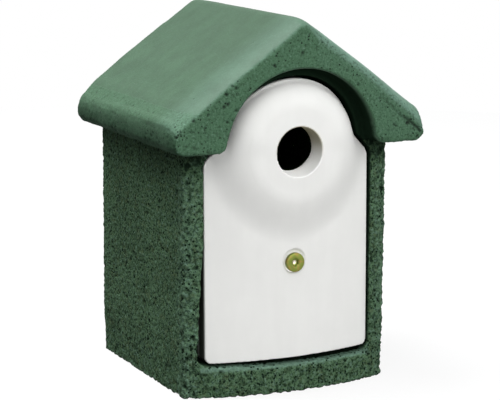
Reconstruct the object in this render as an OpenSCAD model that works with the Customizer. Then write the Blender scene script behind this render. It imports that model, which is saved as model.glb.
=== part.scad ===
// Nest box of wood-concrete: a hollow body under a gabled roof with an arched front,
// closed by a lift-out front panel that one hex-socket bolt holds to a steel strap.
// Millimetres, +Z up. X runs across the front, and the front faces -Y.
// The origin is on the ground under the middle of the roof's length and width.

/* [Body] */
// Width of the body across its side walls
body_w = 144; // [140:0.5:170]
// Depth of the body from its back face to its front corners
body_d = 139; // [110:1:180]
// How far the front swells forward at its middle
front_bow = 13.5; // [9:0.5:14]
// Thickness of the side walls and the back wall
wall_t = 18; // [17:1:22]
// Thickness of the floor
floor_t = 18; // [12:1:20]
// Height of the eaves' underside, where the walls end
eave_z = 161.5; // [156:0.5:163]

/* [Roof] */
// Width of the roof over both eaves
roof_w = 178.5; // [164:0.5:205]
// Height at which the slopes would meet in a sharp ridge
ridge_z = 245.5; // [240:0.5:280]
// Pitch of the slopes in degrees
roof_pitch = 35.5; // [33:0.1:37]
// Overhang of the roof in front of the body's front corners
front_overhang = 24; // [20:1:35]
// Overhang of the roof behind the back wall
back_overhang = 6.5; // [1:0.5:20]
// Thickness of the slopes, square to them
slope_t = 20; // [14:1:24]
// Rounding of the ridge
ridge_r = 8; // [4:1:12]
// Rounding of the eaves' upper edge
eave_top_r = 12; // [6:1:14]
// Rounding of the eaves' lower edge
eave_bottom_r = 8; // [4:1:9]
// How much larger the arch in the roof's front is than the opening for the panel
arch_reveal = 5.5; // [4:0.5:7]
// Rounding of the arch's two feet
arch_foot_r = 8; // [6:1:10]

/* [Front panel] */
// Width of the panel at its straight sides
panel_w = 117; // [112:0.5:118]
// Height of the panel's bottom edge
panel_bottom_z = 22.8; // [20:0.2:30]
// Radius of the panel's round top
panel_top_r = 46; // [44:0.5:47]
// Thickness of the panel
panel_t = 13; // [11:0.5:14]
// Gap around the panel in its opening
panel_gap = 1.5; // [1:0.1:2]
// How far the panel's face lies behind the front of the body
panel_recess = 3.4; // [1:0.1:5]
// Gap between the panel's back and the rebate that it closes on
seat_gap = 0.3; // [0.1:0.1:0.5]
// Diameter of the entrance hole
hole_d = 32; // [26:1:34]
// Height of the entrance hole's axis
hole_z = 159.5; // [157:0.5:161]
// How far the nose round the hole stands out of the panel's middle
nose_h = 10; // [7:0.5:12]
// Radius of the nose's flat face
nose_face_r = 27; // [24:0.5:29]
// Length of the entrance hole through the nose
hole_len = 16; // [13:0.5:18]

/* [Fastening] */
// Height of the bolt
bolt_z = 87; // [60:1:95]
// Diameter of the bolt's thread
bolt_d = 6; // [5:0.5:8]
// Diameter of the bolt's head
head_d = 14; // [12:0.5:18]
// Height of the bolt's head
head_h = 3.2; // [2.6:0.1:4]
// Width across the flats of the bolt's hex socket
socket_af = 4; // [3:0.5:5]
// Radial clearance of the bolt in the panel, strap and nut
bolt_clear = 0.3; // [0.2:0.1:0.6]
// Width of the strap
strap_w = 20; // [14:1:30]
// Thickness of the strap
strap_t = 3; // [2:0.5:5]
// Depth of the strap's ends in the side walls
strap_grip = 8; // [4:1:12]
// Width across the flats of the nut
nut_af = 10; // [10:0.5:13]
// Height of the nut
nut_h = 5; // [4:0.5:8]
// Diameter of the hanging hole in the back wall
hang_d = 8; // [5:0.5:12]
// Height of the hanging hole
hang_z = 140; // [110:1:150]

/* [Hidden] */
$fn = 96;

concrete = "#4a7354";
concrete_smooth = "#6f9479";
white_panel = "#e6e6e2";
zinc_yellow = "#b0a24a";
steel = "silver";

over = 1;                                   // how far a cutter runs past what it cuts
roof_d = body_d + front_overhang + back_overhang;
roof_front = -roof_d / 2;
corner_y = roof_front + front_overhang;     // plane of the body's front corners
back_y = corner_y + body_d;                 // back face of the back wall
half_w = body_w / 2;
inner_half = half_w - wall_t;               // the chamber's half width
panel_half = panel_w / 2;

// The front is one upright cylinder through both front corners and the swollen middle.
bow_r = (half_w * half_w + front_bow * front_bow) / (2 * front_bow);
bow_y = corner_y - front_bow + bow_r;       // axis of that cylinder
panel_face_y = corner_y - front_bow + panel_recess;
nose_y = panel_face_y - nose_h;
panel_edge_y = bow_y - sqrt(pow(bow_r - panel_recess, 2) - pow(panel_half, 2));
panel_back_y = panel_edge_y + panel_t;
rebate_y = panel_back_y + seat_gap;         // the walls behind it stop the panel
panel_rim = 10;                             // width of the panel's flat rim behind, on the rebate
ledge_lap = 5;                              // lap of the roof's ledge behind the panel's round top
ledge_t = 8;
chamber_front_y = rebate_y + ledge_t;
chamber_back_y = back_y - wall_t;

// The panel's outline leaves its round top in an S, leaning out to the straight sides.
corner_r = 4;                               // rounding of the panel's bottom corners
shoulder_r = 7;                             // outward part of the S
neck_r = 8;                                 // inward part of the S
neck_angle = 11;                            // where the S leaves the round top, above the hole's axis
lean = 48;                                  // lean of the S's straight middle from upright
neck = [0, hole_z] + (panel_top_r + neck_r) * [cos(neck_angle), sin(neck_angle)];
neck_end = neck - neck_r * [cos(lean), sin(lean)];
shoulder_start_x = panel_half - shoulder_r + shoulder_r * cos(lean);
shoulder = [
    panel_half - shoulder_r,
    neck_end[1] - (shoulder_start_x - neck_end[0]) / tan(lean) - shoulder_r * sin(lean)
];
sill_z = panel_bottom_z + corner_r + 2;     // the jambs stand on the sill above its rounded corners

// The roof's arch: a circle round the entrance hole's axis, with two rounded feet.
arch_r = panel_top_r + panel_gap + arch_reveal;
foot_z = eave_z + arch_foot_r;
foot_x = sqrt(pow(arch_r + arch_foot_r, 2) - pow(foot_z - hole_z, 2));
foot_angle = atan2(foot_z - hole_z, foot_x);

// The nose in section: a flat ring, a rounded shoulder, then a straight flank.
nose_round = 16;
flank = 55;                                 // the flank's fall in degrees
flank_drop = 12;

strap_y = rebate_y + 4;                     // front face of the strap
bolt_r = bolt_d / 2;
bolt_hole_r = bolt_r + bolt_clear;
washer_r = head_d / 2 + 1;
washer_t = 0.8;
washer_clear = 0.1;
spot_r = washer_r + 0.4;                    // round seat of the washer in the panel
spot_y = panel_face_y + 1;                  // bottom of that seat
head_y = spot_y - washer_t;                 // underside of the bolt's head
head_bevel = 1.5;
socket_depth = 2;
bolt_end_y = strap_y + strap_t + nut_h + 3;

// Points of an arc, from angle a to angle b, in degrees.
function arc(centre, r, a, b, steps) = [
    for (i = [0 : steps]) centre + r * [cos(a + (b - a) * i / steps), sin(a + (b - a) * i / steps)]
];

function mirrored(points) = [
    for (i = [len(points) - 1 : -1 : 0]) [-points[i][0], points[i][1]]
];

// Right half of the panel's outline, from its bottom corner up to the top, grown all round.
function panel_half_outline(grow) = concat(
    arc([panel_half - corner_r, panel_bottom_z + corner_r], corner_r + grow, -90, 0, 6),
    arc(shoulder, shoulder_r + grow, 0, lean, 6),
    arc(neck, neck_r - grow, lean + 180, neck_angle + 180, 6),
    arc([0, hole_z], panel_top_r + grow, neck_angle + 3, 90, 24)
);

// Outline of the panel, or of what leaves it a gap, in the plane of the front.
module panel_outline(grow = 0) {
    half = panel_half_outline(grow);
    polygon(concat(half, mirrored([for (i = [0 : len(half) - 2]) half[i]])));
}

// Outline of the arch in the roof's front, open below the eaves.
module arch_outline() {
    half = concat(
        [[foot_x, eave_z - over]],
        arc([foot_x, foot_z], arch_foot_r, -90, foot_angle - 180, 8),
        arc([0, hole_z], arch_r, foot_angle + 3, 90, 24)
    );
    polygon(concat(half, mirrored([for (i = [0 : len(half) - 2]) half[i]])));
}

// Outline of the roof seen from the front.
module roof_outline() {
    half = roof_w / 2;
    slope_z = ridge_z - (half - eave_top_r) * tan(roof_pitch) - eave_top_r / cos(roof_pitch);
    outline = concat(
        arc([half - eave_bottom_r, eave_z + eave_bottom_r], eave_bottom_r, -90, 0, 6),
        arc([half - eave_top_r, slope_z], eave_top_r, 0, 90 - roof_pitch, 6),
        arc([0, ridge_z - ridge_r / cos(roof_pitch)], ridge_r, 90 - roof_pitch, 90, 4)
    );
    polygon(concat(outline, mirrored([for (i = [0 : len(outline) - 2]) outline[i]])));
}

// The chamber under the roof, seen from the front.
module ceiling_outline() {
    apex_z = ridge_z - slope_t / cos(roof_pitch);
    side_z = apex_z - inner_half * tan(roof_pitch);
    polygon([
        [inner_half, eave_z - over], [inner_half, side_z], [0, apex_z],
        [-inner_half, side_z], [-inner_half, eave_z - over]
    ]);
}

// A shape drawn in the plane of the front, from one depth to another.
module from_front(y0, y1) {
    translate([0, y1, 0]) rotate([90, 0, 0]) linear_extrude(y1 - y0) children();
}

// A round bar along Y.
module bar_y(r, y0, y1, z) {
    translate([0, y1, z]) rotate([90, 0, 0]) cylinder(r = r, h = y1 - y0);
}

// Everything behind the swollen front, or behind a surface that lies back from it.
module behind_front(back = 0) {
    translate([0, bow_y, -over]) cylinder(r = bow_r - back, h = ridge_z + 2 * over, $fn = 256);
}

// A block given by its lowest and highest corners.
module block(low, high) {
    translate(low) cube(high - low);
}

module floor_slab() {
    color(concrete)
        block([-inner_half, rebate_y, 0], [inner_half, chamber_back_y, floor_t]);
}

module back_wall() {
    color(concrete) difference() {
        block([-half_w, chamber_back_y, 0], [half_w, back_y, eave_z]);
        bar_y(hang_d / 2, chamber_back_y - over, back_y + over, hang_z);
    }
}

// The right side wall behind the rebate, with the pocket that holds an end of the strap.
module side_wall() {
    color(concrete) difference() {
        block([inner_half, rebate_y, 0], [half_w, chamber_back_y, eave_z]);
        strap_blank();
    }
}

module left_wall() mirror([1, 0, 0]) side_wall();

module right_wall() side_wall();

// The part of the front wall in front of the rebate, inside a box seen from the front.
module front_wall(x0, x1, z0, z1) {
    color(concrete) difference() {
        intersection() {
            behind_front();
            block([x0, corner_y - front_bow - over, z0], [x1, rebate_y, z1]);
        }
        from_front(corner_y - front_bow - 2 * over, rebate_y + over) panel_outline(panel_gap);
    }
}

module front_sill() front_wall(-half_w, half_w, 0, sill_z);

module left_jamb() front_wall(-half_w, -inner_half / 2, sill_z, eave_z);

module right_jamb() front_wall(inner_half / 2, half_w, sill_z, eave_z);

// The roof casting, with the gables over the walls, the arch and the round top of the opening.
module roof() {
    color(concrete_smooth) difference() {
        from_front(roof_front, roof_front + roof_d) roof_outline();
        from_front(chamber_front_y, chamber_back_y) ceiling_outline();
        difference() {
            from_front(roof_front - over, rebate_y) arch_outline();
            behind_front();
        }
        from_front(roof_front - over, rebate_y) intersection() {
            panel_outline(panel_gap);
            translate([-half_w, eave_z - over]) square([body_w, ridge_z]);
        }
        bar_y(panel_top_r - ledge_lap, rebate_y - over, chamber_front_y + over, hole_z);
    }
}

// The nose round the entrance hole, turned about the hole's axis.
module nose() {
    start = [nose_face_r + nose_round * sin(flank), nose_round * (1 - cos(flank))];
    depth = start[1] + flank_drop;
    section = concat(
        [[0, depth], [0, 0]],
        [for (a = [0 : flank / 8 : flank + 0.1])
            [nose_face_r + nose_round * sin(a), nose_round * (1 - cos(a))]],
        [start + flank_drop * [1 / tan(flank), 1]]
    );
    translate([0, nose_y, hole_z]) rotate([-90, 0, 0]) rotate_extrude() polygon(section);
}

module front_panel() {
    color(white_panel) difference() {
        intersection() {
            union() {
                behind_front(panel_recess);
                nose();
            }
            from_front(nose_y - over, panel_back_y) panel_outline();
        }
        panel_hollow();
        bar_y(hole_d / 2, nose_y - over, panel_back_y + over, hole_z);
        bar_y(bolt_hole_r, nose_y - over, panel_back_y + over, bolt_z);
        bar_y(spot_r, nose_y - over, spot_y, bolt_z);
    }
}

// What the panel lacks behind, so that its shell has one thickness inside a flat rim.
module panel_hollow() {
    hollow_half = panel_half - panel_rim;
    intersection() {
        behind_front(panel_recess + panel_t);
        block(
            [-hollow_half, panel_face_y, panel_bottom_z + panel_rim],
            [hollow_half, panel_back_y + over, shoulder[1] - shoulder_r]
        );
    }
    bar_y(nose_face_r, nose_y + hole_len, panel_back_y + over, hole_z);
}

module bolt_washer() {
    color(steel) difference() {
        bar_y(washer_r, head_y, spot_y, bolt_z);
        bar_y(bolt_r + washer_clear, head_y - over, spot_y + over, bolt_z);
    }
}

module panel_bolt() {
    color(zinc_yellow) difference() {
        union() {
            translate([0, head_y, bolt_z]) rotate([90, 0, 0])
                cylinder(r1 = head_d / 2, r2 = head_d / 2 - head_bevel, h = head_h);
            bar_y(bolt_r, head_y - (head_h - socket_depth) / 2, bolt_end_y, bolt_z);
        }
        translate([0, head_y - head_h + socket_depth, bolt_z]) rotate([90, 0, 0])
            cylinder(r = socket_af / sqrt(3), h = socket_depth + over, $fn = 6);
    }
}

// The strap without its hole.
module strap_blank() {
    reach = inner_half + strap_grip;
    block([-reach, strap_y, bolt_z - strap_w / 2], [reach, strap_y + strap_t, bolt_z + strap_w / 2]);
}

module cross_strap() {
    color(steel) difference() {
        strap_blank();
        bar_y(bolt_hole_r, strap_y - over, strap_y + strap_t + over, bolt_z);
    }
}

module strap_nut() {
    y0 = strap_y + strap_t;
    color(steel) difference() {
        translate([0, y0 + nut_h, bolt_z]) rotate([90, 0, 0])
            cylinder(r = nut_af / sqrt(3), h = nut_h, $fn = 6);
        bar_y(bolt_hole_r, y0 - over, y0 + nut_h + over, bolt_z);
    }
}

floor_slab();
left_wall();
right_wall();
back_wall();
front_sill();
left_jamb();
right_jamb();
roof();
front_panel();
panel_bolt();
bolt_washer();
cross_strap();
strap_nut();
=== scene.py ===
import math

import bmesh
import bpy
import numpy as np
from bpy.props import FloatProperty, FloatVectorProperty, IntProperty, PointerProperty
from mathutils import Matrix, Vector, noise


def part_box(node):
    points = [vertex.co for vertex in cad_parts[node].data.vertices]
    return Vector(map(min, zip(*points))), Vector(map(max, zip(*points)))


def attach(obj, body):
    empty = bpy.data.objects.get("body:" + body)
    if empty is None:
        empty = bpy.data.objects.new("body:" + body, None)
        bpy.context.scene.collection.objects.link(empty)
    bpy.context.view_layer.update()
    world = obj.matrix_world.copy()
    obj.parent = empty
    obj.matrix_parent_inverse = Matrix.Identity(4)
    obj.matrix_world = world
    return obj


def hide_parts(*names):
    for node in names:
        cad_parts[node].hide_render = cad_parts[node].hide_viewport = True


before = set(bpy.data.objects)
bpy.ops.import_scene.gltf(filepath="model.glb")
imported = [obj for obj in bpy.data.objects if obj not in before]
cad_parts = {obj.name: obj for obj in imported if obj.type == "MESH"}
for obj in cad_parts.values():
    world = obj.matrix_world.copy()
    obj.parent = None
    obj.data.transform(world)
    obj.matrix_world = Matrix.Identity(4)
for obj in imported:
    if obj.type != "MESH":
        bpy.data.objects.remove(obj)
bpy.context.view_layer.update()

bl_info = {
    "name": "Wood-concrete nest box",
    "version": (1, 0, 0),
    "blender": (4, 5, 0),
    "location": "3D View > Sidebar > Nest box",
    "description": "Casts, finishes and lights a wood-concrete nest box with a lift-out front panel",
    "category": "Object",
}

MM = 0.001
WALLS = ("floor_slab", "left_wall", "right_wall", "back_wall", "front_sill", "left_jamb", "right_jamb")

# The lowest and the highest corners of the CAD's pieces.
FOOT_Z = min(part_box(node)[0].z for node in WALLS)
BODY_HIGH = Vector(map(max, *(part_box(node)[1] for node in WALLS)))
ROOF_LOW, ROOF_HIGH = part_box("roof")
PANEL_LOW, PANEL_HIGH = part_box("front_panel")
BOLT_LOW, BOLT_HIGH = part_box("panel_bolt")
WASHER_LOW, WASHER_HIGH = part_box("bolt_washer")

# The upright cylinder that the front follows, and what stands out of it or lies in it.
BOW_AXIS_Y = 124.5 * MM
BOW_RADIUS = 198.75 * MM
BOW_REACH = 80 * MM
PANEL_RECESS = 3.4 * MM
PANEL_GAP = 1.5 * MM
HOLE_Z = 159.5 * MM
NOSE_Y = PANEL_LOW.y
NOSE_FLAT = 27 * MM
NOSE_ROUND = 16 * MM
NOSE_FLANK = math.radians(55)

# The roof's slopes, and the height at which they meet.
ROOF_PITCH = math.radians(35.5)
ROOF_APEX = 245.5 * MM

# The body's wear: its upright corners, the sill's lip, the frame's edge, the foot and the eaves.
CORNER_REACH = 9 * MM
LIP_Z = PANEL_LOW.z - PANEL_GAP
LIP_REACH = 7 * MM
FRONT_Y = -40 * MM
FRAME_Y = -48 * MM
GAP_WIDENING = 3.8 * MM
WAVE_HEIGHT = 0.3 * MM
CHIP_HEIGHT = 1.7 * MM
FOOT_CLEARANCE = 0.05 * MM
EAVE_FILLET = 4 * MM
ROOF_OVERLAP = 1.2 * MM

# The roof's wear: smoothing passes, its brim, its slopes and the groove where its roll ends.
BRIM = 6 * MM
FAR_EDGE_WEAR = 3
EAVE_END_WEAR = 15
RIGHT_BRIM_WEAR = 6
ROLL_DEPTH = 14 * MM
SLOPE_SLUMP = 1.1 * MM
CREASE_FILL = 0.9 * MM
ROOF_PORE_DEPTH = 1.3 * MM
EAVE_LUMPS = 0.5 * MM
GROOVE_DEPTH = 1.2 * MM
GROOVE = np.array(
    ((53.0, 195.0), (69.9, 179.1), (75.6, 176.2), (79.4, 173.0), (82.8, 170.4), (85.2, 167.7))) * MM

# The nose as it is cast, how far the hole's floor climbs, and the height that the panel turns about.
DOME_FLAT = 27.5 * MM
DOME_RIM = 13.4 * MM
DOME_TURN = 45.4 * MM
BORE_CLIMB = 2.1 * MM
PANEL_PIVOT = 97 * MM

# The fastening, and how far each piece sits off the bolt's axis.
BOLT_Z = (BOLT_LOW.z + BOLT_HIGH.z) / 2
SEAT_SHIFT = Vector((0.6, 0, 0.05)) * MM
SEAT_SHRINK = 0.03
WASHER_SHIFT = Vector((0.85, 0, -0.35)) * MM
BOLT_SHIFT = Vector((0.75, 0, -1.0)) * MM
HEAD_RADIUS = 6.35 * MM
SHANK_RADIUS = 3 * MM
MOUTH_RADIUS = 2.9 * MM
SOCKET_RADIUS = 2.31 * MM
SOCKET_DEPTH = 2.2 * MM
DRILL_DEPTH = 3.0 * MM
WASHER_RADIUS = 7.8 * MM
WASHER_BORE = 4.2 * MM
# How much paler than the steel the washer is, as a painted highlight.
WASHER_PALENESS = 1.6

# Each lamp's name, place, width in metres and power in watts, then the sky, the floor and the camera.
LAMPS = (
    ("overhead_softbox", (-0.55, 0.35, 1.72), 1.1, 38.5),
    ("right_softbox", (0.75, -1.45, 0.75), 1.2, 10.8),
    ("left_softbox", (-0.75, -1.2, 1.2), 1.2, 7.8),
    ("front_softbox", (0.1, -1.25, 1.25), 1.0, 3.4),
    ("low_softbox", (0.1, -1.75, 0.35), 1.2, 5.6),
)
LAMP_AIM = Vector((0, 0, 0.12))
SKY_LOW = 0.06
SKY_RISE = 0.72
FLOOR_RADIUS = 1.3
FLOOR_GLOW = 0.86
CAMERA_AIM = Vector((2.857 * MM, 0, 114.045 * MM))
CAMERA_DISTANCE_MM = 1293.788
CAMERA_AZIMUTH = math.radians(-25.3618)
CAMERA_ELEVATION = math.radians(10.5752)
CAMERA_ROLL = 0.0050348
CAMERA_LENS = 137.845
CAMERA_SHIFT = (-0.00005, 0.0006)


# Sizes and colours that a user changes

LENGTH = {"precision": 4, "unit": "LENGTH"}
COLOUR = {"size": 3, "min": 0, "max": 1, "subtype": "COLOR"}


class NestBoxSizes(bpy.types.PropertyGroup):
    """Sizes of the detail that is cast or pressed into the pieces, or that wear leaves on them"""

    wall_mesh: FloatProperty(
        name="Wall mesh", description="Spacing of the mesh on the walls",
        default=1.0 * MM, min=0.5 * MM, **LENGTH)
    roof_mesh: FloatProperty(
        name="Roof mesh", description="Spacing of the mesh on the roof",
        default=1.0 * MM, min=0.5 * MM, **LENGTH)
    panel_mesh: FloatProperty(
        name="Panel mesh", description="Spacing of the mesh on the front panel",
        default=0.8 * MM, min=0.5 * MM, **LENGTH)
    face_limit: IntProperty(
        name="Triangle limit", description="Most triangles that a casting keeps",
        default=190000, min=20000)
    draft: FloatProperty(
        name="Wall draft", description="How far the side walls lean out above their foot",
        default=0.95 * MM, min=0.0, **LENGTH)
    skin: FloatProperty(
        name="Skin", description="How far the broken upright corners are filled out again",
        default=0.35 * MM, min=0.0, **LENGTH)
    grain: FloatProperty(
        name="Grain", description="Size of the coarse grain in the walls",
        default=2.9 * MM, min=1 * MM, **LENGTH)
    grain_depth: FloatProperty(
        name="Grain depth", description="Depth of the coarse grain in the walls",
        default=0.45 * MM, min=0.0, **LENGTH)
    pore_depth: FloatProperty(
        name="Pore depth", description="Depth of the open pores in the walls",
        default=1.1 * MM, min=0.0, **LENGTH)
    corner_wear: IntProperty(
        name="Corner wear", description="Smoothing passes over the body's upright front corners",
        default=26, min=0)
    lip_wear: IntProperty(
        name="Lip wear", description="Smoothing passes over the sill's top lip",
        default=30, min=0)
    shoulder_wear: IntProperty(
        name="Shoulder wear", description="Smoothing passes where the nose runs out into the shoulders",
        default=40, min=0)
    lip_drop: FloatProperty(
        name="Lip drop", description="How far the sill's lip has been struck down",
        default=2.4 * MM, min=0.0, **LENGTH)
    roll_reach: FloatProperty(
        name="Roll reach", description="How far back from its front edge the roof rolls over",
        default=20 * MM, min=1 * MM, **LENGTH)
    roll_radius: FloatProperty(
        name="Roll radius", description="Radius of the roll along the roof's front edge",
        default=47 * MM, min=21 * MM, **LENGTH)
    ridge_wear: IntProperty(
        name="Ridge wear", description="Smoothing passes over the ridge's far corner",
        default=16, min=0)
    eave_slump: FloatProperty(
        name="Eave slump", description="How far the left eave has slumped at its far end",
        default=3.6 * MM, min=0.0, **LENGTH)
    brim_wear: IntProperty(
        name="Brim wear",
        description="Smoothing passes over the roof's left front crease, a sixth of the right's",
        default=5, min=0)
    flare_reach: FloatProperty(
        name="Nose flare", description="Width of the run-out below the nose",
        default=34 * MM, min=1 * MM, **LENGTH)
    panel_turn: FloatProperty(
        name="Panel turn", description="How far the panel sits turned in its frame",
        default=0.0105, subtype="ANGLE", unit="ROTATION")
    panel_drop: FloatProperty(
        name="Panel drop", description="How far the panel has settled in its frame",
        default=0.4 * MM, **LENGTH)


class NestBoxColours(bpy.types.PropertyGroup):
    """Colours of the pieces"""

    wall_green: FloatVectorProperty(
        name="Wall green", description="Colour of the walls' skin",
        default=(0.077, 0.143, 0.076), **COLOUR)
    wall_shade: FloatVectorProperty(
        name="Wall shade", description="Colour down in the walls' pores",
        default=(0.008, 0.018, 0.010), **COLOUR)
    # Also the painted highlight on the grain's crests and the sill's lip.
    wall_fleck: FloatVectorProperty(
        name="Wall fleck", description="Pale flecks where chips break the walls' skin",
        default=(0.16, 0.27, 0.21), **COLOUR)
    wall_olive: FloatVectorProperty(
        name="Wall olive", description="Olive patches in the walls' skin",
        default=(0.085, 0.110, 0.050), **COLOUR)
    roof_green: FloatVectorProperty(
        name="Roof green", description="Colour of the roof's skin",
        default=(0.054, 0.124, 0.067), **COLOUR)
    # Also the painted sheen along the roof's rolled front edge.
    bloom: FloatVectorProperty(
        name="Bloom", description="Pale bloom on the smooth roof",
        default=(0.20, 0.33, 0.27), **COLOUR)
    panel_white: FloatVectorProperty(
        name="Panel white", description="Colour of the front panel",
        default=(0.845, 0.845, 0.822), **COLOUR)
    zinc_olive: FloatVectorProperty(
        name="Zinc olive", description="Colour of the bolt's zinc",
        default=(0.165, 0.20, 0.042), **COLOUR)
    zinc_gold: FloatVectorProperty(
        name="Zinc gold", description="Colour where the bolt's zinc turns golden",
        default=(0.27, 0.19, 0.06), **COLOUR)
    # The washer shows this colour made paler, as a painted highlight.
    steel_grey: FloatVectorProperty(
        name="Steel grey", description="Colour of the strap and the nut, and of the paler washer",
        default=(0.62, 0.61, 0.58), **COLOUR)
    # Painted glint at the tip of the drill point in the bolt's socket.
    bare_zinc: FloatVectorProperty(
        name="Bare zinc", description="Colour of the drill point in the bolt's socket",
        default=(0.78, 0.70, 0.62), **COLOUR)
    bore_shade: FloatVectorProperty(
        name="Bore shade", description="Colour of the entrance hole's wall towards its top",
        default=(0.42, 0.39, 0.26), **COLOUR)
    # Painted light towards the foot of the entrance hole's wall.
    bore_foot: FloatVectorProperty(
        name="Bore foot", description="Colour of the entrance hole's wall towards its foot",
        default=(0.97, 0.97, 0.95), **COLOUR)
    # Painted shade on the panel's sides, in the joint.
    joint_grime: FloatVectorProperty(
        name="Joint grime", description="Grime on the panel's sides, in the joint",
        default=(0.045, 0.05, 0.04), **COLOUR)


# Materials

class Flow:
    """A value that flows between nodes. Sums on it add Math nodes."""

    def __init__(self, tree, socket):
        self.tree = tree
        self.socket = socket

    def math(self, operation, *values):
        return self.tree.node("ShaderNodeMath", dict(enumerate(values)), operation=operation)

    def __add__(self, other):
        return self.math("ADD", self, other)

    __radd__ = __add__

    def __sub__(self, other):
        return self.math("SUBTRACT", self, other)

    def __rsub__(self, other):
        return self.math("SUBTRACT", other, self)

    def __mul__(self, other):
        return self.math("MULTIPLY", self, other)

    __rmul__ = __mul__

    def highest(self, other):
        return self.math("MAXIMUM", self, other)

    def lowest(self, other):
        return self.math("MINIMUM", self, other)

    def ramp(self, low, high):
        """0 below low, 1 above high, and smooth between them."""
        return self.tree.node(
            "ShaderNodeMapRange", {"Value": self, "From Min": low, "From Max": high},
            interpolation_type="SMOOTHSTEP")

    def output(self, name):
        """Another output of the same node."""
        return Flow(self.tree, self.socket.node.outputs[name])


class Tree:
    """The nodes of a material or of the world, added one at a time."""

    def __init__(self, owner):
        owner.use_nodes = True
        self.owner = owner
        self.nodes = owner.node_tree.nodes
        self.links = owner.node_tree.links
        self.nodes.clear()

    def node(self, kind, values=None, output=0, **settings):
        """Adds a node of a type, makes its settings, then fills or links its sockets."""
        made = self.nodes.new(kind)
        for name, value in settings.items():
            setattr(made, name, value)
        for key, value in (values or {}).items():
            if isinstance(value, Flow):
                self.links.new(value.socket, made.inputs[key])
            else:
                made.inputs[key].default_value = value
        return Flow(self, made.outputs[output]) if made.outputs else None

    def mix(self, factor, first, second):
        """A shader between two shaders."""
        return self.node("ShaderNodeMixShader", {0: factor, 1: first, 2: second})

    def seen_directly(self):
        """1 for what the camera, a gloss or a clear piece sees, and 0 for light that falls on things."""
        path = self.node("ShaderNodeLightPath", output="Is Camera Ray")
        return path.highest(path.output("Is Glossy Ray")).highest(path.output("Is Transmission Ray"))


class Finish(Tree):
    """One material on object coordinates."""

    def __init__(self, name):
        super().__init__(bpy.data.materials.new(name))
        self.place = self.node("ShaderNodeTexCoord", output="Object")

    def worked(self, name):
        """A mark that the modelling has left on the mesh's points."""
        return self.node("ShaderNodeAttribute", output="Fac", attribute_name=name)

    def grain(self, size, detail=2.0, roughness=0.5, stretch=None, shift=None):
        """Noise from 0 to 1 with patches of about that size in metres."""
        place = self.place
        if stretch or shift:
            place = self.node("ShaderNodeMapping", {
                "Vector": place, "Location": shift or (0, 0, 0), "Scale": stretch or (1, 1, 1)})
        return self.node("ShaderNodeTexNoise", {
            "Vector": place, "Scale": 1 / size, "Detail": detail, "Roughness": roughness})

    def pricks(self, size, small, large):
        """1 in round pricks, one to each random cell of about that size, and 0 between them."""
        cells = self.node("ShaderNodeTexVoronoi", {"Vector": self.place, "Scale": 1 / size})
        return 1 - cells.ramp(small, large)

    def blend(self, factor, first, second):
        """A colour between two colours."""
        first, second = (part if isinstance(part, Flow) else (*part, 1.0) for part in (first, second))
        return self.node(
            "ShaderNodeMix", {0: factor, 6: first, 7: second}, output=2, data_type="RGBA")

    def bump(self, height, depth):
        """A normal that shows a height from 0 to 1, which is depth metres high."""
        return self.node("ShaderNodeBump", {"Height": height, "Distance": depth, "Strength": 1.0})

    def show(self, shader):
        self.node("ShaderNodeOutputMaterial", {"Surface": shader})
        return self.owner

    def shader(self, **sockets):
        """A principled shader with these sockets."""
        return self.node(
            "ShaderNodeBsdfPrincipled",
            {name.replace("_", " "): value for name, value in sockets.items()})

    def surface(self, **sockets):
        """Shows a shader with these sockets."""
        return self.show(self.shader(**sockets))


def tone(colour, share):
    """A colour that is darker or paler by a share."""
    return tuple(share * part for part in colour)


def wall_finish(colours):
    """Coarse, open wood-concrete, painted green."""
    finish = Finish("rough_green_wood_concrete")
    pore, worn = finish.worked("pore"), finish.worked("worn")
    crumbs = finish.grain(1.5 * MM, detail=3.0, roughness=0.65)
    flecks = finish.grain(2.1 * MM, roughness=0.6, shift=(0.3, 0.1, 0.7))
    patches = finish.grain(13 * MM)
    mossy = finish.grain(4.5 * MM, detail=3.0, roughness=0.6, shift=(0.8, 0.2, 0.4))
    drift = finish.grain(30 * MM, detail=1.0, shift=(0.5, 0.9, 0.2))
    pinholes = finish.pricks(2.6 * MM, 0.20, 0.34) * patches.ramp(0.38, 0.52)
    base = finish.blend(drift.ramp(0.35, 0.65), tone(colours.wall_green, 0.80), colours.wall_green)
    base = finish.blend(finish.worked("front"), base, tone(colours.wall_green, 1.12))
    base = finish.blend(mossy.ramp(0.5, 0.68) * 0.5, base, colours.wall_olive)
    base = finish.blend(crumbs.ramp(0.55, 0.40) * 0.8, base, colours.wall_shade)
    # Pale flecks, pale wear at the front edges, and painted highlight on the grain's crests and the
    # sill's lip.
    base = finish.blend(flecks.ramp(0.54, 0.64) * 0.35 + 0.55 * worn, base, colours.wall_fleck)
    # Painted shade in the pores and pinholes, the grain's hollows, the frame's gap and under the roof.
    base = finish.blend((pore + pinholes).lowest(1.0), base, colours.wall_shade)
    height = 0.7 * crumbs + 0.4 * flecks - 0.7 * pinholes
    return finish.surface(
        Base_Color=base, Roughness=0.95, Specular_IOR_Level=0.03, Normal=finish.bump(height, 0.9 * MM))


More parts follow.
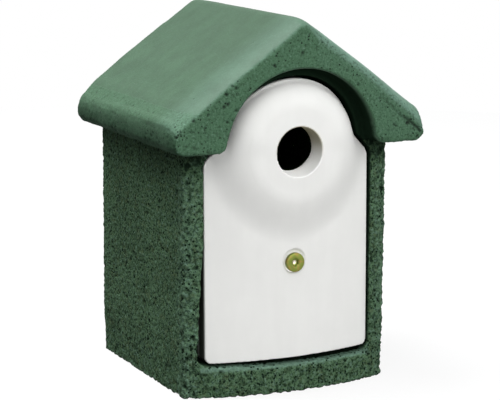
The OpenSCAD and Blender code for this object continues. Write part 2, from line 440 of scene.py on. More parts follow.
def roof_finish(colours):
    """Wood-concrete struck smooth, with fine pores and brush marks on its front."""
    finish = Finish("smooth_green_wood_concrete")
    pore, brushed = finish.worked("pore"), finish.worked("brushed")
    bloom, reveal = finish.worked("bloom"), finish.worked("reveal")
    mottle = finish.grain(14 * MM, detail=4.0, roughness=0.6)
    dust = finish.grain(1.1 * MM, detail=3.0, roughness=0.6)
    swept = finish.node("ShaderNodeCombineXYZ", {
        0: finish.worked("ring"), 1: 0.14 * finish.worked("sweep"), 2: 0.0})
    stipple = finish.grain(1.6 * MM, detail=3.0, roughness=0.7, shift=(0.2, 0.6, 0.1))
    strokes = finish.node("ShaderNodeTexNoise", {
        "Vector": swept, "Scale": 1 / (1.6 * MM), "Detail": 3.0, "Roughness": 0.6})
    pinholes = finish.pricks(3.0 * MM, 0.16, 0.24) * finish.grain(10 * MM).ramp(0.46, 0.54)
    base = finish.blend(
        mottle.ramp(0.3, 0.7), tone(colours.roof_green, 0.64), tone(colours.roof_green, 0.82))
    base = finish.blend(finish.worked("crown"), base, tone(colours.roof_green, 0.5))
    base = finish.blend(brushed, base, tone(colours.roof_green, 1.06))
    base = finish.blend(dust.ramp(0.45, 0.8) * 0.14, base, colours.bloom)
    # Painted sheen along the rolled front edge, stronger on the right slope.
    base = finish.blend(bloom * (0.18 + 0.32 * mottle), base, colours.bloom)
    base = finish.blend(strokes.ramp(0.54, 0.36) * brushed * 0.12, base, colours.wall_shade)
    base = finish.blend(stipple.ramp(0.52, 0.34) * brushed * 0.55, base, colours.wall_shade)
    base = finish.blend(stipple.ramp(0.55, 0.75) * brushed * 0.45, base, colours.bloom)
    # Painted shade in the pores, the pinholes and the struck groove.
    base = finish.blend((pore + pinholes * brushed).lowest(1.0), base, colours.wall_shade)
    height = 0.35 * dust + brushed * (0.3 * strokes + stipple - 0.5 * pinholes)
    skin = finish.shader(
        Base_Color=base, Roughness=0.55 + 0.25 * brushed, Specular_IOR_Level=0.2,
        Normal=finish.bump(height, 0.35 * MM))
    # Painted shade: a near-black shader is mixed in over the arch's reveal and the left eave's face.
    dark = finish.node("ShaderNodeBsdfDiffuse", {"Color": (*colours.wall_shade, 1.0)})
    dull = (0.55 + 0.5 * (stipple - mottle)) * finish.worked("eave")
    return finish.show(finish.mix(reveal.highest(dull), skin, dark))


def panel_finish(colours):
    """Off-white casting from a smooth mould."""
    finish = Finish("white_cast_panel")
    mottle = finish.grain(14 * MM, detail=3.0)
    streaks = finish.grain(7 * MM, detail=3.0, stretch=(1.0, 1.0, 0.12))
    fine = finish.grain(0.8 * MM)
    base = finish.blend((0.5 * mottle + 0.5 * streaks).ramp(0.35, 0.65),
                        tone(colours.panel_white, 0.975), colours.panel_white)
    # Painted shade towards the top of the hole's wall, and painted light at its foot.
    base = finish.blend(finish.worked("bore"), base, colours.bore_shade)
    base = finish.blend(finish.worked("bore_foot"), base, colours.bore_foot)
    # Painted shade on the panel's sides, in the joint.
    base = finish.blend(finish.worked("grime"), base, colours.joint_grime)
    return finish.surface(
        Base_Color=base, Roughness=0.6, Specular_IOR_Level=0.3, Normal=finish.bump(fine, 0.02 * MM))


def zinc_finish(colours):
    """Zinc with an olive and gold sheen."""
    finish = Finish("olive_zinc")
    drift = finish.grain(3.5 * MM)
    base = finish.blend(drift.ramp(0.45, 0.7), colours.zinc_olive, colours.zinc_gold)
    # Painted glint at the tip of the drill point in the socket.
    base = finish.blend(finish.worked("bare"), base, colours.bare_zinc)
    return finish.surface(
        Base_Color=base, Metallic=1.0, Roughness=0.32 + 0.15 * drift,
        Normal=finish.bump(finish.grain(0.5 * MM), 0.02 * MM))


def steel_finish(name, colour):
    """Plain bright steel, drawn lengthwise."""
    finish = Finish(name)
    drawn = finish.grain(2 * MM, detail=3.0, stretch=(0.1, 1.0, 1.0))
    base = finish.blend(drawn.ramp(0.3, 0.7), tone(colour, 0.85), colour)
    return finish.surface(
        Base_Color=base, Metallic=1.0, Roughness=0.3 + 0.2 * drawn, Normal=finish.bump(drawn, 0.03 * MM))


# Mesh tools

def new_piece(name, bm):
    """Makes an object at the origin of a finished bmesh."""
    mesh = bpy.data.meshes.new(name)
    bm.to_mesh(mesh)
    bm.free()
    made = bpy.data.objects.new(name, mesh)
    bpy.context.scene.collection.objects.link(made)
    return made


def settle(piece):
    """Turns a piece's modifiers into plain mesh."""
    graph = bpy.context.evaluated_depsgraph_get()
    mesh = bpy.data.meshes.new_from_object(
        piece.evaluated_get(graph), preserve_all_data_layers=True, depsgraph=graph)
    piece.modifiers.clear()
    old, piece.data = piece.data, mesh
    bpy.data.meshes.remove(old)
    mesh.name = piece.name
    return piece


def cad_copy(name, nodes):
    """One piece with the shapes of some CAD nodes, whose loose triangles are merged."""
    bm = bmesh.new()
    for node in nodes:
        part = bmesh.new()
        part.from_mesh(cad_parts[node].data)
        bmesh.ops.remove_doubles(part, verts=part.verts, dist=1e-6)
        merged = bpy.data.meshes.new(node + "_merged")
        part.to_mesh(merged)
        part.free()
        bm.from_mesh(merged)
        bpy.data.meshes.remove(merged)
    return new_piece(name, bm)


def recast(piece, spacing):
    """Casts a piece anew as one even mesh, with its edges just broken."""
    skin = piece.modifiers.new("recast", "REMESH")
    skin.mode = "VOXEL"
    skin.voxel_size = spacing
    skin.use_smooth_shade = True
    broken = piece.modifiers.new("broken_edges", "SMOOTH")
    broken.factor = 0.5
    broken.iterations = 2
    return settle(piece)


def points_and_normals(piece):
    mesh = piece.data
    points = np.empty(len(mesh.vertices) * 3, np.float32)
    normals = np.empty(len(mesh.vertices) * 3, np.float32)
    mesh.vertices.foreach_get("co", points)
    mesh.vertex_normals.foreach_get("vector", normals)
    return points.reshape(-1, 3).astype(float), normals.reshape(-1, 3).astype(float)


def put_points(piece, points):
    piece.data.vertices.foreach_set("co", points.astype(np.float32).ravel())
    piece.data.update()


def keep_marks(piece, **marks):
    """Leaves named numbers on a piece's points, for its finish."""
    for name, values in marks.items():
        layer = piece.data.attributes.new(name, "FLOAT", "POINT")
        layer.data.foreach_set("value", np.asarray(values, np.float32))


def thin_out(piece, limit):
    """Removes triangles where the mesh is flat, down to a limit."""
    triangles = sum(len(face.vertices) - 2 for face in piece.data.polygons)
    if triangles > limit:
        thinner = piece.modifiers.new("thinner", "DECIMATE")
        thinner.ratio = limit / triangles
        settle(piece)


def dress(piece, material):
    """Gives the whole of a piece one material and smooth shading."""
    piece.data.materials.clear()
    piece.data.materials.append(material)
    piece.data.polygons.foreach_set("material_index", [0] * len(piece.data.polygons))
    piece.data.shade_smooth()


def soften(piece, chosen, passes, z_too=True):
    """Rounds the chosen points off, pass by pass."""
    bm = bmesh.new()
    bm.from_mesh(piece.data)
    bm.verts.ensure_lookup_table()
    verts = [bm.verts[i] for i in np.flatnonzero(chosen)]
    for _ in range(passes):
        bmesh.ops.smooth_vert(
            bm, verts=verts, factor=0.5, use_axis_x=True, use_axis_y=True, use_axis_z=z_too)
    bm.to_mesh(piece.data)
    bm.free()


def ease(low, high, value):
    """0 at low, 1 at high, and smooth between them. High may be the lesser."""
    t = np.clip((value - low) / (high - low), 0, 1)
    return t * t * (3 - 2 * t)


def sampled(points, chosen, sample):
    """Numbers from a noise function at the chosen points, and 0 elsewhere."""
    found = np.zeros(len(points))
    found[chosen] = [sample(Vector(point)) for point in points[chosen]]
    return found


def swell(points, chosen, size, seed, octaves=1):
    """Soft noise, mostly from -0.5 to 0.5, with swellings of about that size."""
    origin = Vector((seed * 3.7, seed * 1.9, seed * 5.3))
    return sampled(points, chosen, lambda p: noise.fractal(p / size + origin, 0.6, 2.0, octaves))


def pits(points, chosen, spacing, widest, share, seed):
    """How deep each point lies in round pits of many sizes, from 0 to 1."""
    origin = Vector((seed * 2.3, seed * 4.1, seed * 0.7))

    def depth(p):
        distances, centres = noise.voronoi(p / spacing + origin)
        lot = 0.5 + 0.5 * noise.cell(centres[0] * 9.0)
        if lot > share:
            return 0.0
        radius = widest * (0.45 + 0.55 * lot / share)
        return max(0.0, 1 - (distances[0] * spacing / radius) ** 2)

    return sampled(points, chosen, depth)


# Shapes

def bow_y(x, back=0.0):
    """Where the swollen front lies, or a surface that lies back from it by some distance."""
    return BOW_AXIS_Y - np.sqrt((BOW_RADIUS - back) ** 2 - np.minimum(x ** 2, BOW_REACH ** 2))


CORNER_Y = float(bow_y(np.array(BODY_HIGH.x)))


def nose_fall(r):
    """How far the nose has fallen back from its face at a distance from the hole's axis."""
    turn = np.clip((r - NOSE_FLAT) / NOSE_ROUND, 0, math.sin(NOSE_FLANK))
    rounded = NOSE_ROUND * (1 - np.sqrt(1 - turn ** 2))
    beyond = np.maximum(r - NOSE_FLAT - NOSE_ROUND * math.sin(NOSE_FLANK), 0)
    return rounded + beyond * math.tan(NOSE_FLANK)


def dome_fall(r):
    """The same for the nose as it is cast, which turns away sooner and softer."""
    width = DOME_TURN - DOME_FLAT
    radius = (width ** 2 + DOME_RIM ** 2) / (2 * DOME_RIM)
    run = np.maximum(r - DOME_FLAT, 0)
    steepest = width / math.sqrt(radius ** 2 - width ** 2)
    curved = radius - np.sqrt(radius ** 2 - np.minimum(run, width) ** 2)
    return curved + np.maximum(run - width, 0) * steepest


def below_slope(x, z):
    """How deep a point lies under the roof's slopes."""
    return (ROOF_APEX - np.abs(x) * math.tan(ROOF_PITCH) - z) * math.cos(ROOF_PITCH)


class NESTBOX_OT_body(bpy.types.Operator):
    """Casts the walls, the floor and the frame of the front as one rough piece"""

    bl_idname = "nestbox.body"
    bl_label = "Body casting"

    def wear(self, body, sizes):
        """Rounds the upright front corners and the sill's lip. Tells which points lie on the lip."""
        x, y, z = points_and_normals(body)[0].T
        corner = (np.abs(x) > BODY_HIGH.x - CORNER_REACH) & (y < CORNER_Y + CORNER_REACH)
        soften(body, corner & (z > 3 * MM), sizes.corner_wear, z_too=False)
        on_lip = (np.abs(x) < PANEL_HIGH.x) & (np.abs(z - LIP_Z) < LIP_REACH) & (y < bow_y(x) + 8 * MM)
        soften(body, on_lip, sizes.lip_wear)
        return on_lip

    def outside(self, points, normals):
        """Tells which points lie on the weathered outside, clear of the roof."""
        x, y, z = points.T
        side = (np.abs(x) > BODY_HIGH.x - CORNER_REACH) | (y > BODY_HIGH.y - 5 * MM)
        front = (y < FRONT_Y) & (normals[:, 1] < 0.3)
        return (side | front | (z < 5 * MM)) & (z < BODY_HIGH.z - 0.2 * MM)

    def lean(self, points, sizes):
        """Leans the side walls out above their foot, and fills out their broken corners."""
        x, _, z = points.T
        out = sizes.skin + sizes.draft * ease(8 * MM, 34 * MM, z)
        points[:, 0] += np.sign(x) * out * (np.abs(x) > BODY_HIGH.x - 8 * MM)

    def strike_frame(self, points, sizes):
        """Strikes the frame off unevenly, with a wide gap at the lower left and over the sill.
        Tells how far each point lies in the gap, which the finish darkens as painted shade."""
        x, y, z = points.T
        beside = ease(9 * MM, 1 * MM, np.abs(np.abs(x) - PANEL_HIGH.x - PANEL_GAP)) * (y < FRAME_Y)
        points[:, 0] -= (GAP_WIDENING * beside * (x < 0)
                         * ease(115 * MM, 32 * MM, z) * (z > LIP_Z - 4 * MM))
        points[:, 2] -= (sizes.lip_drop * ease(-70 * MM, 0, x)
                         * (np.abs(x) < PANEL_HIGH.x - 2 * MM)
                         * ease(8 * MM, 1 * MM, np.abs(z - LIP_Z)) * (y < FRAME_Y))
        opening = (np.abs(x) < PANEL_HIGH.x + 4.5 * MM) & (z > LIP_Z - 3 * MM)
        return ease(0.5 * MM, 3 * MM, y - bow_y(x)) * opening * (y < FRONT_Y)

    def roughen(self, points, normals, outside, edge, front, sizes):
        """Raises the grain and opens the pores. Tells the grain's height and the pores' depth."""
        z = points[:, 2]
        smeared = front * ease(-0.05, 0.25, swell(points, outside, 11 * MM, 1))
        grain = swell(points, outside, sizes.grain, 2, octaves=3)
        holes = pits(points, outside, 3.6 * MM, 1.9 * MM, 0.46, 3)
        crowd = ease(-0.2, 0.2, swell(points, outside, 16 * MM, 4))
        waves = swell(points, outside, 26 * MM, 5)
        holes *= (0.45 + 0.55 * crowd + 0.6 * edge) * (1 - 0.8 * smeared)
        rise = sizes.grain_depth * grain * (1.0 + 0.6 * edge + 0.9 * front) * (1 - 0.6 * smeared)
        rise += WAVE_HEIGHT * waves
        rise -= sizes.pore_depth * holes
        foot = z < 0.6 * MM
        rise[foot] = np.minimum(rise[foot], 0) * 0.5
        points += normals * (rise * outside)[:, None]
        return grain, holes

    def chip_foot(self, points):
        """Chips the foot's edge all round, and keeps it just clear of the ground."""
        x, y, z = points.T
        rim = (np.abs(x) > BODY_HIGH.x - 3 * MM) | (y < bow_y(x) + 3 * MM) | (y > BODY_HIGH.y - 3 * MM)
        chips = np.clip(swell(points, rim & (z < 5 * MM), 4 * MM, 6, octaves=2) + 0.1, 0, 1)
        points[:, 2] += CHIP_HEIGHT * chips * ease(4 * MM, 0, z) * rim
        points[:, 2] = np.maximum(points[:, 2], FOOT_Z + FOOT_CLEARANCE)

    def meet_roof(self, points, normals):
        """Runs the walls out into the eaves, and lets their top edge into the roof."""
        x, _, z = points.T
        climb = np.clip(z - (BODY_HIGH.z - EAVE_FILLET), 0, EAVE_FILLET)
        out = EAVE_FILLET - np.sqrt(np.maximum(EAVE_FILLET ** 2 - climb ** 2, 0))
        out *= np.abs(normals[:, 2]) < 0.8
        side = (np.abs(x) > BODY_HIGH.x - 2 * MM) & (z < BODY_HIGH.z + 1 * MM)
        points[:, 0] += np.sign(x) * out * side
        points[:, 2] += np.where(z > BODY_HIGH.z - 0.8 * MM, ROOF_OVERLAP, 0)

    def execute(self, context):
        sizes, colours = context.scene.nestbox_sizes, context.scene.nestbox_colours
        body = recast(cad_copy("body_casting", WALLS), sizes.wall_mesh)
        on_lip = self.wear(body, sizes)
        points, normals = points_and_normals(body)
        x, y, z = points.T
        outside = self.outside(points, normals)
        self.lean(points, sizes)
        # The gap is darkened by the finish as painted shade.
        gap = self.strike_frame(points, sizes)
        edge = ease(13 * MM, 2 * MM, np.hypot(np.abs(x) - BODY_HIGH.x, y - CORNER_Y))
        front = ease(-0.4, -0.8, normals[:, 1]) * (y < FRONT_Y)
        grain, holes = self.roughen(points, normals, outside, edge, front, sizes)
        self.chip_foot(points)
        self.meet_roof(points, normals)
        put_points(body, points)

        # Painted highlight on the sill's lip, which is also kept clear of the painted shade.
        lip = ease(2.5 * MM, 0.5 * MM, np.abs(z - LIP_Z + sizes.lip_drop)) * on_lip
        # Painted shade at the top of the walls and the frame, under the roof, strongest on the front.
        damp = (0.35 + 0.65 * front) * ease(143 * MM, 156 * MM, z)
        # Painted shade in the grain's hollows and painted highlight on its crests.
        hollow = ease(-0.05, -0.4, grain) * (0.2 + 0.24 * front + 0.15 * edge)
        crest = ease(0.05, 0.4, grain) * (0.2 + 0.10 * front)
        # Painted shade in the pores, the grain's hollows, the gap and under the roof, less on the lip.
        open_share = 1.1 * ease(0.1, 0.9, holes) + hollow + gap + 0.6 * damp - 0.8 * lip
        keep_marks(
            body, pore=np.clip(open_share, 0, 1),
            worn=np.clip(0.2 * edge + 0.5 * crest + 1.3 * lip - damp, 0, 1), front=front)
        thin_out(body, sizes.face_limit)
        dress(body, wall_finish(colours))
        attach(body, "box")
        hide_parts(*WALLS)
        return {"FINISHED"}


class NESTBOX_OT_roof(bpy.types.Operator):
    """Casts the gabled roof, with its rolled front edge and its arch"""

    bl_idname = "nestbox.roof"
    bl_label = "Roof casting"

    def wear(self, roof, sizes):
        """Rounds the far edges, the ridge's far corner and the eaves' front corners.
        Tells which points lie on the brim left of the ridge, and which right of it."""
        x, y, z = points_and_normals(roof)[0].T
        outer = (np.abs(x) > 60 * MM) | (z > 200 * MM)
        soften(roof, outer & (y > ROOF_HIGH.y - 4 * MM), FAR_EDGE_WEAR)
        soften(roof, (z > ROOF_HIGH.z - 16 * MM) & (y > ROOF_HIGH.y - 16 * MM), sizes.ridge_wear)
        eave_end = (np.abs(x) > 58 * MM) & (z < ROOF_LOW.z + 11 * MM)
        soften(roof, eave_end & (y < ROOF_LOW.y + 11 * MM), EAVE_END_WEAR)
        brim = (y < ROOF_LOW.y + BRIM) & (below_slope(x, z) < 10 * MM)
        return brim & (x < 0), brim & (x > -2 * MM)

    def roll_over(self, roof, sizes):
        """Rolls the slopes over along their front edge, as on a cylinder, and slumps the left eave."""
        points, _ = points_and_normals(roof)
        x, y, z = points.T
        short = 0.3 * ease(2 * MM, 16 * MM, x) * ease(84 * MM, 40 * MM, x)
        reach = sizes.roll_reach * (1 - short)
        radius = sizes.roll_radius * reach / sizes.roll_reach
        run = np.clip(reach - (y - ROOF_LOW.y), 0, reach)
        near_slope = np.clip(1 - below_slope(x, z) / ROLL_DEPTH, 0, 1)
        sunk = (radius - np.sqrt(radius ** 2 - run ** 2)) * near_slope
        sunk *= 1 + 0.4 * ease(50 * MM, 85 * MM, x) - 0.4 * np.exp(-((x - 3 * MM) / (9 * MM)) ** 2)
        lean = np.clip(x / (8 * MM), -1, 1)
        level = math.cos(ROOF_PITCH)
        upright = level + (1 / level - level) * (1 - np.abs(lean))
        points[:, 0] -= sunk * math.sin(ROOF_PITCH) * lean
        points[:, 2] -= sunk * upright
        points[:, 2] -= SLOPE_SLUMP * ease(-52 * MM, -74 * MM, x) * near_slope
        top = ease(ROOF_LOW.z + 2 * MM, ROOF_LOW.z + 15 * MM, z)
        far = 0.3 + 0.7 * ease(-70 * MM, 80 * MM, y)
        points[:, 2] -= sizes.eave_slump * ease(-74 * MM, -89 * MM, x) * top * far
        put_points(roof, points)

    def groove(self, points):
        """How deep each point lies in the groove where the rolled edge was struck off, from 0 to 1."""
        nearest = np.full(len(points), 1.0)
        flat = points[:, [0, 2]]
        for start, end in zip(GROOVE, GROOVE[1:]):
            along = end - start
            share = np.clip((flat - start) @ along / (along @ along), 0, 1)
            nearest = np.minimum(nearest, np.hypot(*(flat - start - share[:, None] * along).T))
        x, y = points[:, 0], points[:, 1]
        deep = 0.3 * ease(52 * MM, 60 * MM, x) + 0.7 * ease(66 * MM, 78 * MM, x)
        return ease(1.5 * MM, 0.2 * MM, nearest) * deep * (y < ROOF_LOW.y + 9 * MM)

    def fill_crease(self, points, normals):
        """Fills out the crease over each eave, behind the brim."""
        x, y, z = points.T
        crease = np.hypot(np.abs(x) - ROOF_HIGH.x, z - (ROOF_APEX - ROOF_HIGH.x * math.tan(ROOF_PITCH)))
        fill = CREASE_FILL * ease(6 * MM, 1.5 * MM, crease) * (y > ROOF_LOW.y + BRIM)
        points += normals * fill[:, None]

    def pores(self, points, outside, front, under, eave, arch):
        """How deep each point lies in the roof's pores, and how far it lies in a front corner."""
        x, y, _ = points.T
        crowd = swell(points, outside, 12 * MM, 14) + 0.25 * arch + 0.3 * (np.abs(x) > 66 * MM)
        share = ease(0.0, 0.3, crowd) * front + 0.6 * under + 0.3 * eave
        holes = pits(points, outside, 3.4 * MM, 1.5 * MM, 0.36, 15) * share
        corner = np.exp(-((np.abs(x) - 84 * MM) / (11 * MM)) ** 2 - ((y - ROOF_LOW.y) / (9 * MM)) ** 2)
        holes += pits(points, outside & (corner > 0.05), 2.8 * MM, 1.2 * MM, 0.5, 18) * corner
        holes += pits(points, outside, 7 * MM, 0.9 * MM, 0.12, 16) * (1 - front)
        return holes, corner

    def execute(self, context):
        sizes, colours = context.scene.nestbox_sizes, context.scene.nestbox_colours
        roof = recast(cad_copy("roof_casting", ("roof",)), sizes.roof_mesh)
        left_brim, right_brim = self.wear(roof, sizes)
        self.roll_over(roof, sizes)
        soften(roof, left_brim, sizes.brim_wear)
        soften(roof, right_brim, RIGHT_BRIM_WEAR * sizes.brim_wear)
        points, normals = points_and_normals(roof)
        x, y, z = points.T
        self.fill_crease(points, normals)
        upward = normals[:, 2]
        front = ease(-0.6, -0.9, normals[:, 1]) * (y < ROOF_LOW.y + BRIM)
        under = (z < ROOF_LOW.z + 14 * MM) * ease(0.3, -0.2, upward)
        eave = ease(60 * MM, 84 * MM, np.abs(x)) * (z < ROOF_LOW.z + 26 * MM)
        outside = (y < -62 * MM) | (z > 190 * MM) | (np.abs(x) > 60 * MM)
        r = np.hypot(x, z - HOLE_Z)
        rough = np.clip(0.12 + front + under + 0.35 * eave, 0, 1)
        rise = 0.16 * MM * swell(points, outside, 30 * MM, 11)
        rise += 0.12 * MM * swell(points, outside, 9 * MM, 12) * (0.4 + rough)
        rise += 0.35 * MM * swell(points, outside, 2.8 * MM, 13, octaves=2) * rough
        holes, corner = self.pores(
            points, outside, front, under, eave, arch=ease(64 * MM, 54 * MM, r))
        struck = self.groove(points)
        right = ease(0, 12 * MM, x)
        # Painted sheen along the rolled front edge, stronger on the right slope.
        rolled = ease(2 * sizes.roll_reach, 0.3 * sizes.roll_reach, y - ROOF_LOW.y)
        rolled *= ease(0.15 - 0.2 * right, 0.5 - 0.25 * right, upward) * (0.5 + 0.8 * right)
        # Painted shade over the arch's reveal, which turns it near-black.
        reveal = ease(ROOF_LOW.y - 0.5 * MM, ROOF_LOW.y + 7 * MM, y) * (r < 60 * MM)
        reveal *= (y < -45 * MM) & (front < 0.5)
        lumps = swell(points, outside, 13 * MM, 17, octaves=2) * eave * (z < ROOF_LOW.z + 16 * MM)
        rise += EAVE_LUMPS * lumps
        rise -= ROOF_PORE_DEPTH * holes + GROOVE_DEPTH * struck
        rise += 0.25 * MM * ease(0.3, 0.6, upward) * (z > 176 * MM)
        points += normals * (rise * outside)[:, None]
        points[:] = np.clip(points, ROOF_LOW, ROOF_HIGH)
        put_points(roof, points)

        # Painted shade on the left eave's face, deepest towards its lower edge.
        dull = eave * (x < 0) * ease(0.55, 0.3, upward) * (1 - front)
        # The pore mark carries painted shade in the pores and the struck groove.
        keep_marks(
            roof, pore=np.clip(1.2 * holes + 0.9 * struck, 0, 1), bloom=rolled,
            crown=0.32 * ease(200 * MM, 232 * MM, z) * (x < 4 * MM), reveal=reveal,
            ring=r, sweep=np.arctan2(x, z - HOLE_Z) * 65 * MM,
            brushed=np.clip(front + 0.6 * under + 0.5 * eave + 0.6 * corner, 0, 1),
            eave=dull * (0.55 + 0.5 * ease(ROOF_LOW.z + 17 * MM, ROOF_LOW.z + 5 * MM, z)))
        thin_out(roof, sizes.face_limit)
        dress(roof, roof_finish(colours))
        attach(roof, "box")
        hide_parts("roof")
        return {"FINISHED"}


class NESTBOX_OT_panel(bpy.types.Operator):
    """Casts the bowed front panel, with the nose round its entrance hole"""

    bl_idname = "nestbox.panel"
    bl_label = "Front panel"

    def cast_nose(self, panel, sizes):
        """Gives the face its dome, which runs out below into the bow, and softens the shoulders.
        Tells how far each point lies from the hole's axis, and where the bow lies there."""
        points, normals = points_and_normals(panel)
        x, y, z = points.T
        r = np.hypot(x, z - HOLE_Z)
        lean = np.arctan2(np.abs(x), z - HOLE_Z)
        bow = bow_y(x, PANEL_RECESS)
        plain = np.minimum(bow, NOSE_Y + nose_fall(r))
        domed = np.minimum(bow, NOSE_Y + dome_fall(r))
        tail = ease(58 * MM, 34 * MM, np.abs(x))
        reach = sizes.flare_reach * (1 - 0.12 * np.sin(lean))
        flare = 0.10 * ease(12 * MM, 30 * MM, r) + 0.14 * tail * ease(50 * MM, 100 * MM, r)
        flare += (0.9 - 0.14 * tail) * ease(NOSE_FLAT, NOSE_FLAT + reach, r)
        flared = NOSE_Y + (bow - NOSE_Y) * flare
        below = ease(math.radians(70), math.radians(98), lean)
        shaped = domed + below * (flared - domed)
        on_face = (np.abs(y - plain) < 0.35 * MM) & (normals[:, 1] < -0.35)
        share = np.clip((PANEL_HIGH.y - y) / np.maximum(PANEL_HIGH.y - plain, 1 * MM), 0, 1)
        points[:, 1] = np.where(on_face, shaped, y + share * (shaped - plain))
        put_points(panel, points)
        shoulder = on_face & (r > 34 * MM) & (r < 64 * MM) & (np.abs(z - HOLE_Z + 16 * MM) < 30 * MM)
        soften(panel, shoulder & (np.abs(x) < 56 * MM), sizes.shoulder_wear)
        return r, bow

    def climb_bore(self, points, r):
        """Lets the hole's lower side climb inwards. Tells how far each point lies on the hole's wall."""
        _, y, z = points.T
        inside = (r < 17.5 * MM) & (y < -58 * MM)
        climb = ease(0, 17 * MM, y - NOSE_Y) * ease(4 * MM, -12 * MM, z - HOLE_Z)
        points[:, 2] += BORE_CLIMB * climb * inside
        return inside * ease(16.9 * MM, 16.3 * MM, r)

    def shift_seat(self, points):
        """Shifts the seat under the bolt's head a little to the right, as it was cut."""
        x, _, z = points.T
        from_bolt = np.hypot(x, z - BOLT_Z)
        seat = ease(5 * MM, 7.5 * MM, from_bolt) * ease(14 * MM, 9 * MM, from_bolt)
        points[:, 0] += seat * (SEAT_SHIFT.x - SEAT_SHRINK * x)
        points[:, 2] += seat * (SEAT_SHIFT.z - SEAT_SHRINK * (z - BOLT_Z))

    def hang(self, points, sizes):
        """Lets the panel settle, and turns it a little askew in its frame."""
        turn = sizes.panel_turn
        points[:, 0], points[:, 2] = (
            points[:, 0] - turn * (points[:, 2] - PANEL_PIVOT),
            points[:, 2] + turn * points[:, 0] - sizes.panel_drop)

    def execute(self, context):
        sizes, colours = context.scene.nestbox_sizes, context.scene.nestbox_colours
        panel = recast(cad_copy("panel_casting", ("front_panel",)), sizes.panel_mesh)
        r, bow = self.cast_nose(panel, sizes)
        points, normals = points_and_normals(panel)
        _, y, z = points.T
        bore = self.climb_bore(points, r)
        self.shift_seat(points)
        self.hang(points, sizes)
        put_points(panel, points)
        # Painted shade on the panel's sides, a few millimetres behind the face, in the joint.
        behind = y - bow
        grime = ease(0.8 * MM, 2.4 * MM, behind) * ease(13 * MM, 8 * MM, behind)
        grime *= r > 20 * MM
        # Painted shade towards the top of the hole's wall, and painted light at its foot.
        keep_marks(
            panel, grime=grime * ease(0.8, 0.5, np.abs(normals[:, 1])),
            bore=bore * ease(-14 * MM, 14 * MM, z - HOLE_Z),
            bore_foot=bore * ease(6 * MM, -10 * MM, z - HOLE_Z))
        dress(panel, panel_finish(colours))
        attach(panel, "front_panel")
        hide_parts("front_panel")
        return {"FINISHED"}


class NESTBOX_OT_fastening(bpy.types.Operator):
    """Turns the hex-socket bolt, and finishes the washer, the strap and the nut"""

    bl_idname = "nestbox.fastening"
    bl_label = "Bolt, washer, strap and nut"

    def turned(self, name, radius, far_radius, start, end, segments=64):
        """A round bar along Y between start and end, or a taper."""
        bm = bmesh.new()
        bmesh.ops.create_cone(
            bm, cap_ends=True, segments=segments, radius1=radius, radius2=far_radius,
            depth=abs(end - start))
        bmesh.ops.rotate(bm, verts=bm.verts, matrix=Matrix.Rotation(math.radians(90), 3, "X"))
        bmesh.ops.translate(bm, verts=bm.verts, vec=(0, (start + end) / 2, BOLT_Z))
        return new_piece(name, bm)

    def cut(self, piece, tool, operation="DIFFERENCE"):
        cutting = piece.modifiers.new("cut", "BOOLEAN")
        cutting.operation = operation
        cutting.solver = "EXACT"
        cutting.object = tool
        settle(piece)
        bpy.data.objects.remove(tool)

    def break_edges(self, piece, width, segments, angle=30):
        """Bevels the edges that turn by more than an angle in degrees."""
        broken = piece.modifiers.new("broken_edges", "BEVEL")
        broken.width = width
        broken.segments = segments
        broken.limit_method = "ANGLE"
        broken.angle_limit = math.radians(angle)
        settle(piece)

    def bolt(self, colours):
        top, seat = BOLT_LOW.y, WASHER_LOW.y
        bolt = self.turned("hex_socket_bolt", HEAD_RADIUS, HEAD_RADIUS, seat, top)
        self.break_edges(bolt, 0.7 * MM, 4)
        for name, radius, far_radius, start, end, sides in (
                ("mouth", 2.2 * MM, MOUTH_RADIUS, 0.7 * MM, -0.2 * MM, 64),
                ("socket", SOCKET_RADIUS, SOCKET_RADIUS, SOCKET_DEPTH, -0.5 * MM, 6),
                ("drill_point", 0.1 * MM, 2.2 * MM, DRILL_DEPTH, 1.9 * MM, 64)):
            self.cut(bolt, self.turned(name, radius, far_radius, top + start, top + end, sides))
        shank = self.turned("shank", SHANK_RADIUS, SHANK_RADIUS, seat - 0.5 * MM, BOLT_HIGH.y)
        self.cut(bolt, shank, "UNION")
        self.break_edges(bolt, 0.12 * MM, 2, angle=35)
        x, y, z = points_and_normals(bolt)[0].T
        # Painted glint: the tip of the drill point is marked to show pale.
        keep_marks(bolt, bare=(np.hypot(x, z - BOLT_Z) < 1 * MM) & (y < seat))
        bolt.data.transform(Matrix.Translation(BOLT_SHIFT))
        dress(bolt, zinc_finish(colours))
        bolt.data.set_sharp_from_angle(angle=math.radians(35))
        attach(bolt, "panel_bolt")
        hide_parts("panel_bolt")

    def washer(self, colours):
        washer = self.turned("loose_washer", WASHER_RADIUS, WASHER_RADIUS, WASHER_HIGH.y, WASHER_LOW.y)
        self.cut(washer, self.turned(
            "bore", WASHER_BORE, WASHER_BORE, WASHER_HIGH.y + 1 * MM, WASHER_LOW.y - 1 * MM))
        self.break_edges(washer, 0.25 * MM, 3)
        washer.data.transform(Matrix.Translation(WASHER_SHIFT))
        # The washer's paler steel is a painted highlight.
        dress(washer, steel_finish("pale_zinc", tone(colours.steel_grey, WASHER_PALENESS)))
        washer.data.set_sharp_from_angle(angle=math.radians(35))
        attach(washer, "panel_bolt")
        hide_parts("bolt_washer")

    def execute(self, context):
        colours = context.scene.nestbox_colours
        self.bolt(colours)
        self.washer(colours)
        steel = steel_finish("drawn_steel", colours.steel_grey)
        for node in ("cross_strap", "strap_nut"):
            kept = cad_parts[node]
            kept.data.materials.clear()
            kept.data.materials.append(steel)
        return {"FINISHED"}


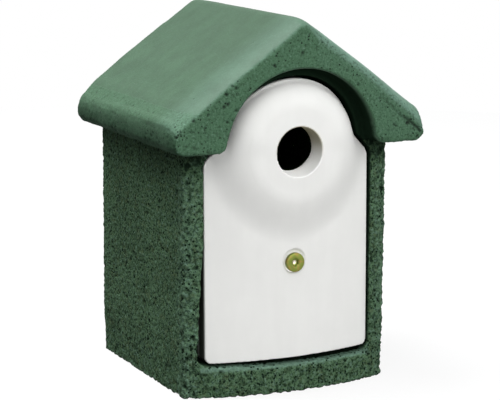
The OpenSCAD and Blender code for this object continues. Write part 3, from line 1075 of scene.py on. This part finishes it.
class NESTBOX_OT_stage(bpy.types.Operator):
    """Sets up the floor, the white surround, the lamps and the camera"""

    bl_idname = "nestbox.stage"
    bl_label = "Stage, lamps and camera"

    def lay_floor(self):
        """A pale floor that shows itself as white, and keeps the object's shadow."""
        bm = bmesh.new()
        bmesh.ops.create_circle(bm, cap_ends=True, segments=96, radius=FLOOR_RADIUS)
        floor = new_piece("studio_floor", bm)
        finish = Finish("pale_floor")
        direct = finish.seen_directly()
        pale = finish.blend(direct, (0.14, 0.14, 0.14), (0.85, 0.85, 0.85))
        matt = finish.node("ShaderNodeBsdfDiffuse", {"Color": pale})
        glow = finish.node("ShaderNodeEmission", {"Color": (1, 1, 1, 1), "Strength": 1.0})
        floor.data.materials.append(finish.show(finish.mix(FLOOR_GLOW * direct, matt, glow)))

    def surround(self):
        """A cloudy sky, brighter overhead, that lights the object and shows itself as plain white."""
        world = bpy.data.worlds.new("white_surround")
        sky = Tree(world)
        way = sky.node("ShaderNodeTexCoord", output="Generated")
        height = sky.node("ShaderNodeSeparateXYZ", {0: way}, output="Z")
        cloud = sky.node("ShaderNodeBackground", {
            "Color": (0.97, 0.985, 1.0, 1), "Strength": SKY_LOW + SKY_RISE * height.highest(0.0)})
        white = sky.node("ShaderNodeBackground", {"Color": (1, 1, 1, 1), "Strength": 1.0})
        sky.node("ShaderNodeOutputWorld", {"Surface": sky.mix(sky.seen_directly(), cloud, white)})
        return world

    def lamp(self, name, place, size, power):
        data = bpy.data.lights.new(name, "AREA")
        data.shape = "DISK"
        data.size = size
        data.energy = power
        made = bpy.data.objects.new(name, data)
        made.location = place
        made.rotation_euler = (LAMP_AIM - Vector(place)).to_track_quat("-Z", "Y").to_euler()
        bpy.context.scene.collection.objects.link(made)

    def camera(self):
        data = bpy.data.cameras.new("studio_lens")
        data.sensor_width = 36.0
        data.lens = CAMERA_LENS
        data.shift_x, data.shift_y = CAMERA_SHIFT
        data.clip_start = 0.05
        data.clip_end = 50
        camera = bpy.data.objects.new("studio_camera", data)
        back = Vector((
            math.sin(CAMERA_AZIMUTH) * math.cos(CAMERA_ELEVATION),
            -math.cos(CAMERA_AZIMUTH) * math.cos(CAMERA_ELEVATION),
            math.sin(CAMERA_ELEVATION)))
        side = Vector((0, 0, 1)).cross(back).normalized()
        up = back.cross(side)
        right = math.cos(CAMERA_ROLL) * side + math.sin(CAMERA_ROLL) * up
        head = math.cos(CAMERA_ROLL) * up - math.sin(CAMERA_ROLL) * side
        place = CAMERA_AIM + back * CAMERA_DISTANCE_MM * MM
        turned = Matrix((right, head, back)).transposed().to_4x4()
        camera.matrix_world = Matrix.Translation(place) @ turned
        bpy.context.scene.collection.objects.link(camera)
        return camera

    def execute(self, context):
        scene = context.scene
        scene.view_settings.view_transform = "Standard"
        self.lay_floor()
        scene.world = self.surround()
        for name, place, size, power in LAMPS:
            self.lamp(name, place, size, power)
        scene.camera = self.camera()
        return {"FINISHED"}


class NESTBOX_PT_sidebar(bpy.types.Panel):
    """Lists the nest box's pieces, sizes and colours"""

    bl_label = "Nest box"
    bl_space_type = "VIEW_3D"
    bl_region_type = "UI"
    bl_category = "Nest box"

    def draw(self, context):
        column = self.layout.column(align=True)
        for step in STEPS:
            column.operator(step.bl_idname)
        for group in (context.scene.nestbox_sizes, context.scene.nestbox_colours):
            column = self.layout.column(align=True)
            for name in group.bl_rna.properties.keys():
                if name not in ("rna_type", "name"):
                    column.prop(group, name)


STEPS = (NESTBOX_OT_body, NESTBOX_OT_roof, NESTBOX_OT_panel, NESTBOX_OT_fastening, NESTBOX_OT_stage)
CLASSES = (NestBoxSizes, NestBoxColours, *STEPS, NESTBOX_PT_sidebar)


def register():
    for cls in CLASSES:
        bpy.utils.register_class(cls)
    bpy.types.Scene.nestbox_sizes = PointerProperty(type=NestBoxSizes)
    bpy.types.Scene.nestbox_colours = PointerProperty(type=NestBoxColours)


def unregister():
    del bpy.types.Scene.nestbox_sizes
    del bpy.types.Scene.nestbox_colours
    for cls in reversed(CLASSES):
        bpy.utils.unregister_class(cls)


def main():
    register()
    bpy.ops.nestbox.body()
    bpy.ops.nestbox.roof()
    bpy.ops.nestbox.panel()
    bpy.ops.nestbox.fastening()
    bpy.ops.nestbox.stage()


if __name__ == "__main__":
    main()
